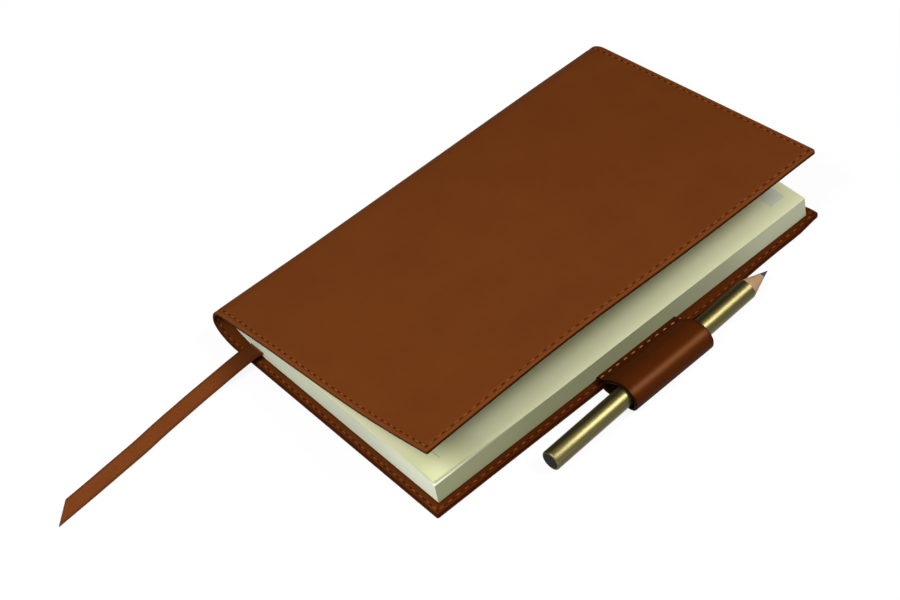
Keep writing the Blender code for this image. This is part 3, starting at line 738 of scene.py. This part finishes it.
def seam_pieces(name, rows_of_holes, body_bend, nodes):
    stitch_sets, paler_sets, hole_sets = [], [], []
    for along, across in rows_of_holes:
        for inner in (False, True):
            tubes, paler = stitch_points(along, across, inner)
            stitch_sets.append(tubes)
            paler_sets.append(paler.ravel())
            hole_sets.append(hole_points(along, across, inner))
    stitches = np.concatenate(stitch_sets)
    size = THREAD_RINGS * THREAD_SIDES
    faces = []
    for i in range(len(stitches)):
        for j in range(THREAD_RINGS - 1):
            ring = i * size + j * THREAD_SIDES
            first = [ring + k % THREAD_SIDES for k in range(THREAD_SIDES + 1)]
            faces += band_faces(first, [k + THREAD_SIDES for k in first])
        last = (i + 1) * size - THREAD_SIDES
        faces.append(tuple(range(i * size, i * size + THREAD_SIDES)))
        faces.append(tuple(range(last, last + THREAD_SIDES)))
    thread = add_piece(f"{name}_stitches", stitches, faces, waxed_thread, "thread", sharp=80.0,
                       edge_wear=np.concatenate(paler_sets))
    body_bend(thread)
    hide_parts(*nodes)
    holes = np.concatenate(hole_sets)
    mouths = [tuple(range(i * HOLE_SIDES, (i + 1) * HOLE_SIDES)) for i in range(len(holes))]
    mouth = add_piece(f"{name}_needle_holes", holes, mouths, hole_shade, "brown_leather")
    body_bend(mouth)


edge_first = -BACK_WIDTH + BACK_SEAM
edge_last = SPINE_RUN + FRONT_WIDTH - FRONT_SEAM
edge_count = round((edge_last - edge_first) / TAIL_STITCH)
edge_along = np.linspace(edge_first, edge_last, edge_count + 1)
edge_across = HALF_LENGTH - seam_inset(edge_along)
first_upper = int(np.searchsorted(edge_along, SPLIT))
lower_rows = [(edge_along[: first_upper + 1], side * edge_across[: first_upper + 1]) for side in (-1, 1)]
upper_rows = [(edge_along[first_upper:], side * edge_across[first_upper:]) for side in (-1, 1)]
for rows_of_holes, place_along, inset in ((lower_rows, edge_first, BACK_SEAM),
                                          (upper_rows, edge_last, FRONT_SEAM)):
    reach = HALF_LENGTH - inset
    across = np.linspace(-reach, reach, round(2 * reach / FORE_STITCH) + 1)
    rows_of_holes.append((np.full(len(across), place_along), across))
seam_pieces("back_seam", lower_rows, bend_lower, ("back_thread",))
seam_pieces("front_seam", upper_rows, bend_upper,
            ("front_thread", "spine_thread_tail", "spine_thread_head"))


# Text block. Six folded sections of uncoated cream paper, each drawn as five gathers of leaves so
# that their edges show, sewn through the folds. The lower two are attached to the back panel and
# the others are left where they lie.
HALF_BLOCK = 72.45
SECTION = 1.08
SECTION_GAP = 0.024
BLOCK_BOTTOM = 2.7
BLOCK_FORE = 41.05
FORE_STEP = 0.1
GATHERS = 5
LEAF_BEND = (-47.4, -16.0)
BACK_SLANT = ((3.0, 4.1, 5.05, 6.3, 6.7), (-36.5, -39.8, -43.3, -46.8, -47.5))
STREAK_MM = (12.0, 12.0, 0.16)
LEAF_SLIT = 0.004
FOLD_DEEP = 0.4


# Uncoated cream paper: matt, warm with a green cast. A stack of leaf edges looks greener and darker
# than a sheet, and faintly streaked, as light is lost between the leaves. A second, darker colour goes
# on by a trait: painted shade on the block's faces and on the first leaves towards the spine, and a
# darker tone at the first leaf's sprung corner.
def paper_finish(name, dark, pale, thumbed):
    material, tree, shader = new_finish(name)
    drawn = add_node(tree, "ShaderNodeMapping", {"Vector": trait(tree, "rest_place", "Vector"),
                     "Scale": tuple(1 / (size * MM) for size in STREAK_MM)})
    streak = add_node(tree, "ShaderNodeTexNoise", {"Vector": drawn.outputs[0], "Scale": 1.0,
                      "Detail": 3.0, "Roughness": 0.6}).outputs["Fac"]
    fresh = mixed(tree, streak, linear(dark), linear(pale))
    # A trait mixes in the darker colour, painted shade and, on the first leaf, a tone at its corner.
    fill(tree, shader, {"Roughness": 0.9, "Specular IOR Level": 0.1,
                        "Normal": bump(tree, streak, 0.06, 0.03),
                        "Base Color": mixed(tree, trait(tree, "thumbed"), fresh, linear(thumbed))})
    return material


cream_paper = paper_finish("uncoated cream paper", "#EAECBE", "#F2F3C9", "#B7BE82")
leaf_edges = paper_finish("edges of stacked cream leaves", "#E6EBD4", "#EEF2DE", "#A6A984")


def leaf_place(x, y, z):
    x, y, z = np.broadcast_arrays(np.asarray(x, float), y, z)
    return np.stack([x, y, z], -1)


def section_piece(name, fore_x, low_z, seed):
    """A folded section as gathers of leaves, with backs on the block's slant and ragged edges."""
    draw = np.random.default_rng(seed)
    points, faces, thumbed = [], [], []
    start = 0
    step = SECTION / GATHERS
    for i in range(GATHERS):
        fold = (2 * i + 1 - GATHERS) / GATHERS
        back = np.interp(low_z + (i + 0.5) * step, *BACK_SLANT)
        back += FOLD_DEEP * (1 - math.sqrt(1 - fold * fold))
        fore = fore_x - FORE_STEP * i / GATHERS + draw.uniform(-0.008, 0.006)
        end = HALF_BLOCK + draw.uniform(-0.03, 0.02)
        x = np.concatenate([np.linspace(back, LEAF_BEND[1], 22),
                            np.linspace(LEAF_BEND[1], fore - 0.3, 8)[1:], [fore]])
        y = np.linspace(-end, end, 9)
        low = low_z + i * step + LEAF_SLIT
        high = low_z + (i + 1) * step - LEAF_SLIT
        ragged = draw.uniform(-0.006, 0.006, len(y))
        top = leaf_place(x[:, None], y[None, :], high)
        under = leaf_place(x[:, None], y[None, :], low)
        top[-1, :, 0] += ragged
        under[-1, :, 0] += ragged
        points += [top.reshape(-1, 3), under.reshape(-1, 3)]
        # The darker colour: painted shade on the tail face towards the spine and over the whole
        # fore-edge face, paler towards the head; all other leaf faces take it at a steady share.
        shaded = np.repeat(0.33 * ease((36.0 - x) / 30.0)[:, None], len(y), 1)
        shaded[:, 1:] = 0.45
        shaded[-1] = 1.0 - 0.34 * ease((y + 10.0) / 80.0)
        thumbed += [shaded.ravel(), shaded.ravel()]
        faces += slab_faces(start, len(x), len(y))
        start += 2 * len(x) * len(y)
    return add_piece(name, np.concatenate(points), faces, leaf_edges, "paper", sharp=30.0,
                     thumbed=np.concatenate(thumbed))


def turn_leaves(piece):
    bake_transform(piece)


for level in range(6):
    number = 6 - level
    low_z = BLOCK_BOTTOM + level * (SECTION + SECTION_GAP)
    section = section_piece(f"section_{number}_leaves", BLOCK_FORE - level * FORE_STEP, low_z, number)
    if level < 2:
        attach(section, "back_cover")
    else:
        turn_leaves(section)
    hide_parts(f"section_{number}")


# First leaf. Two loose leaves on top of the block, whose fore corner at the tail has sprung up a
# little, with a plain ruled grid for scores printed on the upper one.
LEAF_LOW = 9.37
LEAF_STEP = 0.1
LEAF_THICK = 0.07
LEAF_FORE = 39.8
SPRING = 0.7
LEAF_SKEW = 0.6


def sprung(x, y, share):
    """How far the free corner has sprung up."""
    return share * SPRING * ease((x - 5.0) / 36.0) * ease((-y - 25.0) / 48.0)


def skewed(x, y):
    """The loose leaves lie a little askew, flush with the block except near the tail."""
    return x + LEAF_SKEW * ease((y + 70.0) / 45.0) * ease((x - 5.0) / 36.0)


def upper_leaf(x, y, z):
    return leaf_place(skewed(x, y), y, z + sprung(x, y, 1.0))


def under_leaf(x, y, z):
    return leaf_place(skewed(x, y), y, z + sprung(x, y, 0.45))


leaf_x = np.concatenate([np.linspace(LEAF_BEND[0], LEAF_BEND[1], 22),
                         np.linspace(LEAF_BEND[1], LEAF_FORE, 30)[1:]])
leaf_y = np.linspace(-HALF_BLOCK + 0.45, HALF_BLOCK - 0.05, 30)
# Painted shade darkens both leaves away from the fore-edge, under the raised cover, except close to tail
# and head, and a darker tone lies at their sprung tail-fore corner.
gutter_shade = ease((66.0 - leaf_y) / 14.0) * ease((leaf_y + 68.0) / 10.0)
gutter_shade = ease((35.0 - leaf_x) / 7.0)[:, None] * gutter_shade
corner_tone = ease((leaf_x - 22.0) / 12.0)[:, None] * ease((-leaf_y - 48.0) / 18.0)
leaf_shade_and_tone = np.tile(np.maximum(0.7 * gutter_shade, 0.45 * corner_tone).ravel(), 2)
upper_low = LEAF_LOW + LEAF_STEP
first_leaf = sheet_piece("first_leaf_sheet", upper_leaf, leaf_x, leaf_y, upper_low,
                         upper_low + LEAF_THICK, cream_paper, "paper", sharp=30.0, thumbed=leaf_shade_and_tone)
turn_leaves(first_leaf)
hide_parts("score_leaf")
under_x = leaf_x + 0.12 * ease((leaf_x + 40.0) / 70.0)
second_leaf = sheet_piece("second_leaf_sheet", under_leaf, under_x, leaf_y, LEAF_LOW,
                          LEAF_LOW + LEAF_THICK, cream_paper, "paper", sharp=30.0, thumbed=leaf_shade_and_tone)
turn_leaves(second_leaf)

# Printed ink: thin grey-green lines and a pale tint in the heading, sunk into the paper and matt.
score_ink = stock_finish("grey-green printing ink", "#A9AE94", "#9CA187", 1.0, 0.9, False)
heading_tint = stock_finish("pale printed tint", "#DFE5CB", "#D9DFC5", 2.0, 0.9, False)
INK_LIFT = 0.012
GRID_LOW_X = -36.0
GRID_HIGH_X = 28.0
GRID_TAIL = -58.0
GRID_HEAD = 62.0
FOOT_LINE = (-36.0, 34.6, -65.5, -65.3)
HEADING = (-36.0, 35.2, 63.2, 69.0)
ROW_COUNT = 18
COLUMN_COUNT = 7
LINE = 0.22


def ruled_bars(bars):
    """Printed bars on the first leaf, each over enough places to follow its curve."""
    points, faces = [], []
    for low_x, high_x, low_y, high_y in bars:
        x = np.linspace(low_x, high_x, max(2, int((high_x - low_x) / 1.5)))
        y = np.linspace(low_y, high_y, max(2, int((high_y - low_y) / 4.0)))
        start = sum(len(p) for p in points)
        printed = upper_leaf(x[:, None], y[None, :], upper_low + LEAF_THICK + INK_LIFT)
        points.append(printed.reshape(-1, 3))
        faces += grid_faces(start, len(x), len(y))
    return np.concatenate(points), faces


row_y = np.linspace(GRID_TAIL, GRID_HEAD, ROW_COUNT + 1)
column_x = np.linspace(GRID_LOW_X, GRID_HIGH_X, COLUMN_COUNT + 1)
line_bars = [(GRID_LOW_X, GRID_HIGH_X, y - LINE / 2, y + LINE / 2) for y in row_y]
line_bars += [(x - LINE / 2, x + LINE / 2, GRID_TAIL, GRID_HEAD) for x in column_x] + [FOOT_LINE]
score_lines = add_piece("score_grid_lines", *ruled_bars(line_bars), score_ink, "paper")
turn_leaves(score_lines)
score_heading = add_piece("score_grid_heading", *ruled_bars([HEADING]), heading_tint, "paper")
turn_leaves(score_heading)


# Marker strip. A flat thong of thin calf, laid in the block from the head, that comes out at the
# tail, drops over the back panel and lies on the table. Its free end is cut on the slant.
MARKER_HALF = 2.9
MARKER_THICK = 0.5
MARKER_START = (-36.5, -72.85, 4.51)
MARKER_OUT = ((-36.9, 0.2, 4.15), (-37.4, 5.0, 3.15), (-37.8, 11.0, 1.9), (-37.9, 18.0, 0.95),
              (-37.5, 25.0, 0.5), (-36.7, 33.0, 0.36), (-35.6, 41.0, 0.36), (-34.7, 50.0, 0.36),
              (-33.7, 60.0, 0.36), (-32.8, 70.2, 0.36))
MARKER_SLANT = 7.5
MARKER_PAST = 10.0
MARKER_INSIDE = (-72.55, 70.7)
marker_calf = leather_finish("thin brown calf thong", "#77401C", "#673313", "#4E230B", "#3E1A08",
                             0.56, 0.06)
knots = np.array([MARKER_START] + [(x, -HALF_LENGTH - out, z) for x, out, z in MARKER_OUT])


def smooth_path(knots, per_span):
    """A smooth curve through the knots."""
    ends = np.concatenate([[2 * knots[0] - knots[1]], knots, [2 * knots[-1] - knots[-2]]])
    places = []
    for i in range(len(knots) - 1):
        a, b, c, d = ends[i : i + 4]
        for t in np.arange(per_span) / per_span:
            places.append(0.5 * (2 * b + (c - a) * t + (2 * a - 5 * b + 4 * c - d) * t**2
                                 + (3 * b - a - 3 * c + d) * t**3))
    return np.array(places + [knots[-1]])


def strip_piece(name, path, slant):
    """A flat strip with rounded edges along a path; a slanted end is longer on its right."""
    lengths = np.concatenate([[0.0], np.cumsum(np.linalg.norm(np.diff(path, axis=0), axis=1))])
    past = path[-1] + (path[-1] - path[-2]) / np.linalg.norm(path[-1] - path[-2]) * MARKER_PAST
    path = np.concatenate([path, [past]])
    lengths_past = np.append(lengths, lengths[-1] + MARKER_PAST)

    def at(reach):
        return np.stack([np.interp(reach, lengths_past, path[:, k]) for k in range(3)], -1)

    side_places = MARKER_HALF * np.array((-1.0, -0.985, -0.93, -0.6, 0.0, 0.6, 0.93, 0.985, 1.0))
    side_thick = MARKER_THICK / 2 * np.array((0.12, 0.55, 0.9, 1.0, 0.94, 1.0, 0.9, 0.55, 0.12))
    shares = np.linspace(0.0, 1.0, 80)
    top, under = [], []
    for across, half in zip(side_places, side_thick):
        reach = shares * (lengths[-1] + slant / 2 * across / MARKER_HALF)
        run = at(reach + 0.5) - at(np.maximum(reach - 0.5, 0.0))
        run[0] = (0.0, -1.0, 0.0)
        side = np.cross((0.0, 0.0, 1.0), run)
        side /= np.linalg.norm(side, axis=1)[:, None]
        up = np.cross(run, side)
        up /= np.linalg.norm(up, axis=1)[:, None]
        top.append(at(reach) + across * side + half * up)
        under.append(at(reach) + across * side - half * up)
    rows, columns = len(side_places), len(shares)
    wear = np.repeat(bell((MARKER_HALF - np.abs(side_places)) / 0.25), columns)
    # Painted shade: the strip is darker where it comes out of the block.
    shaded = np.tile(0.7 * bell(shares * lengths[-1] / 11.0), 2 * rows)
    return add_piece(name, np.array(top + under), slab_faces(0, rows, columns), marker_calf,
                     "dark_leather", edge_wear=np.tile(wear, 2), edge_burnish=shaded)


marker_path = smooth_path(knots, 8)
marker = strip_piece("marker_strip", marker_path, MARKER_SLANT)
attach(marker, "back_cover")
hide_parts("marker_tail")
inside_path = np.array([(MARKER_START[0], y, MARKER_START[2])
                        for y in np.linspace(MARKER_INSIDE[1], MARKER_INSIDE[0], 30)])
marker_inside = strip_piece("marker_strip_inside", inside_path, 0.0)
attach(marker_inside, "back_cover")
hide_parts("marker_inside")


# Pencil. A short round golf pencil: a lime-wood barrel in gold metallic lacquer, its blunt end
# painted blackish as shade, sharpened to bare wood and a graphite point, and a loose fit in the loop.
PENCIL_LENGTH = 90.8
PENCIL_HALF = 3.1
PENCIL_TAPER = 9.2
PENCIL_YAW = math.radians(3.0)
PENCIL_TAIL = np.array((53.56, -42.9, 4.3))
LEAD_HALF = 1.0
TURN_SIDES = 56
pencil_way = np.array((-math.sin(PENCIL_YAW), math.cos(PENCIL_YAW), 0.0))
pencil_side = np.array((math.cos(PENCIL_YAW), math.sin(PENCIL_YAW), 0.0))
pencil_up = np.array((0.0, 0.0, 1.0))


def turned_piece(name, profile, material, slot, wobble=0.0, **more):
    """A piece turned about the pencil's axis from (radius, place) pairs, closed at both ends."""
    turns = np.arange(TURN_SIDES) * 2 * math.pi / TURN_SIDES
    spokes = np.outer(np.cos(turns), pencil_side) + np.outer(np.sin(turns), pencil_up)
    ragged = wobble * (np.sin(3 * turns + 0.7) + 0.6 * np.sin(7 * turns))
    points = []
    for radius, place in profile:
        places = place + (ragged if place == profile[-1][1] else 0.0 * turns)
        points.append(PENCIL_TAIL + np.outer(places, pencil_way) + radius * spokes)
    faces = []
    for i in range(len(profile) - 1):
        first = [i * TURN_SIDES + k % TURN_SIDES for k in range(TURN_SIDES + 1)]
        faces += band_faces(first, [k + TURN_SIDES for k in first])
    last = (len(profile) - 1) * TURN_SIDES
    faces += [tuple(range(TURN_SIDES)), tuple(range(last, last + TURN_SIDES))]
    return add_piece(name, np.concatenate(points), faces, material, slot, **more)


# Gold metallic lacquer: fine flakes in a dark coat, on which the lamps draw a soft streak. Its colour
# goes by the angle of view as well, a painted highlight: gold where it faces the viewer, olive where it
# turns away.
gold_lacquer, gold_tree, gold_shader = new_finish("gold metallic lacquer")
gold_place = add_node(gold_tree, "ShaderNodeTexCoord").outputs["Object"]
gold_flakes = noise(gold_tree, gold_place, 0.25, 2.0)
gold_facing = mixed(gold_tree, gold_flakes, linear("#8A8052"), linear("#968B59"))
gold_turn = add_node(gold_tree, "ShaderNodeLayerWeight", {"Blend": 0.5})
gold_painted_highlight = ranged(gold_tree, gold_turn.outputs["Facing"], 0.11, 0.3, 0.0, 1.0)
gold_colour = mixed(gold_tree, gold_painted_highlight, gold_facing, linear("#5C5533"))
fill(gold_tree, gold_shader, {"Metallic": 0.85, "Base Color": gold_colour,
                              "Roughness": ranged(gold_tree, gold_flakes, 0.0, 1.0, 0.34, 0.42)})

# Sharpened lime wood: pale pinkish tan, streaked along the grain, with fine marks of the blade.
bare_wood, wood_tree, wood_shader = new_finish("sharpened lime wood")
wood_place = add_node(wood_tree, "ShaderNodeTexCoord").outputs["Object"]
wood_stretch = add_node(wood_tree, "ShaderNodeMapping", {"Vector": wood_place,
                        "Scale": (1.0, 0.12, 1.0)})
wood_grain = noise(wood_tree, wood_stretch.outputs[0], 0.35, 4.0)
wood_colour = mixed(wood_tree, wood_grain, linear("#98744F"), linear("#BE9A73"))
fill(wood_tree, wood_shader, {"Roughness": 0.75, "Base Color": wood_colour,
                              "Normal": bump(wood_tree, wood_grain, 0.25, 0.06)})

# Graphite: dark grey, with the dull metallic shine of a worn point.
graphite, graphite_tree, graphite_shader = new_finish("worn graphite")
graphite_place = add_node(graphite_tree, "ShaderNodeTexCoord").outputs["Object"]
graphite_grit = noise(graphite_tree, graphite_place, 0.3, 3.0)
graphite_colour = mixed(graphite_tree, graphite_grit, linear("#33343A"), linear("#4A4B52"))
fill(graphite_tree, graphite_shader, {"Roughness": 0.45, "Metallic": 0.3, "Base Color": graphite_colour})

# Blunt end: a matt blackish disc on the end face, painted shade where it faces away from the lamps.
end_shade_paint = stock_finish("matt dark dip paint", "#1E1B17", "#171411", 0.5, 0.7, False)
end_shade_paint.node_tree.nodes["Principled BSDF"].inputs["Specular IOR Level"].default_value = 0.15
end_shade_profile = [(PENCIL_HALF - 0.75, -0.02), (PENCIL_HALF - 0.5, -0.012), (PENCIL_HALF - 0.42, 0.03)]
end_shade = turned_piece("pencil_shaded_end", end_shade_profile, end_shade_paint, "gold_lacquer")
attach(end_shade, "pencil")

shoulder = PENCIL_LENGTH - PENCIL_TAPER
wood_end = PENCIL_LENGTH - PENCIL_TAPER * LEAD_HALF / PENCIL_HALF
barrel_profile = [(PENCIL_HALF - 0.5, 0.0), (PENCIL_HALF - 0.22, 0.05), (PENCIL_HALF - 0.06, 0.2),
                  (PENCIL_HALF, 0.45), (PENCIL_HALF, 20.0), (PENCIL_HALF, 40.0), (PENCIL_HALF, 60.0),
                  (PENCIL_HALF, shoulder - 1.0), (PENCIL_HALF, shoulder)]
barrel = turned_piece("pencil_lacquered_barrel", barrel_profile, gold_lacquer, "gold_lacquer", 0.12,
                      sharp=50.0)
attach(barrel, "pencil")
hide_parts("pencil_barrel")
cone_profile = [(PENCIL_HALF - 0.04, shoulder - 0.4), (PENCIL_HALF - 0.03, shoulder + 0.05),
                (PENCIL_HALF * 0.8, shoulder + PENCIL_TAPER * 0.2),
                (PENCIL_HALF * 0.5, shoulder + PENCIL_TAPER * 0.5), (LEAD_HALF, wood_end)]
cone = turned_piece("pencil_wood_cone", cone_profile, bare_wood, "gold_lacquer", 0.1)
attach(cone, "pencil")
lead_profile = [(LEAD_HALF * 0.97, wood_end - 0.5), (LEAD_HALF * 0.99, wood_end),
                (LEAD_HALF * 0.5, wood_end + (PENCIL_LENGTH - wood_end) * 0.5),
                (LEAD_HALF * 0.14, PENCIL_LENGTH - 0.35), (LEAD_HALF * 0.05, PENCIL_LENGTH - 0.12)]
lead = turned_piece("pencil_graphite_point", lead_profile, graphite, "graphite")
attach(lead, "pencil")
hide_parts("pencil_lead")
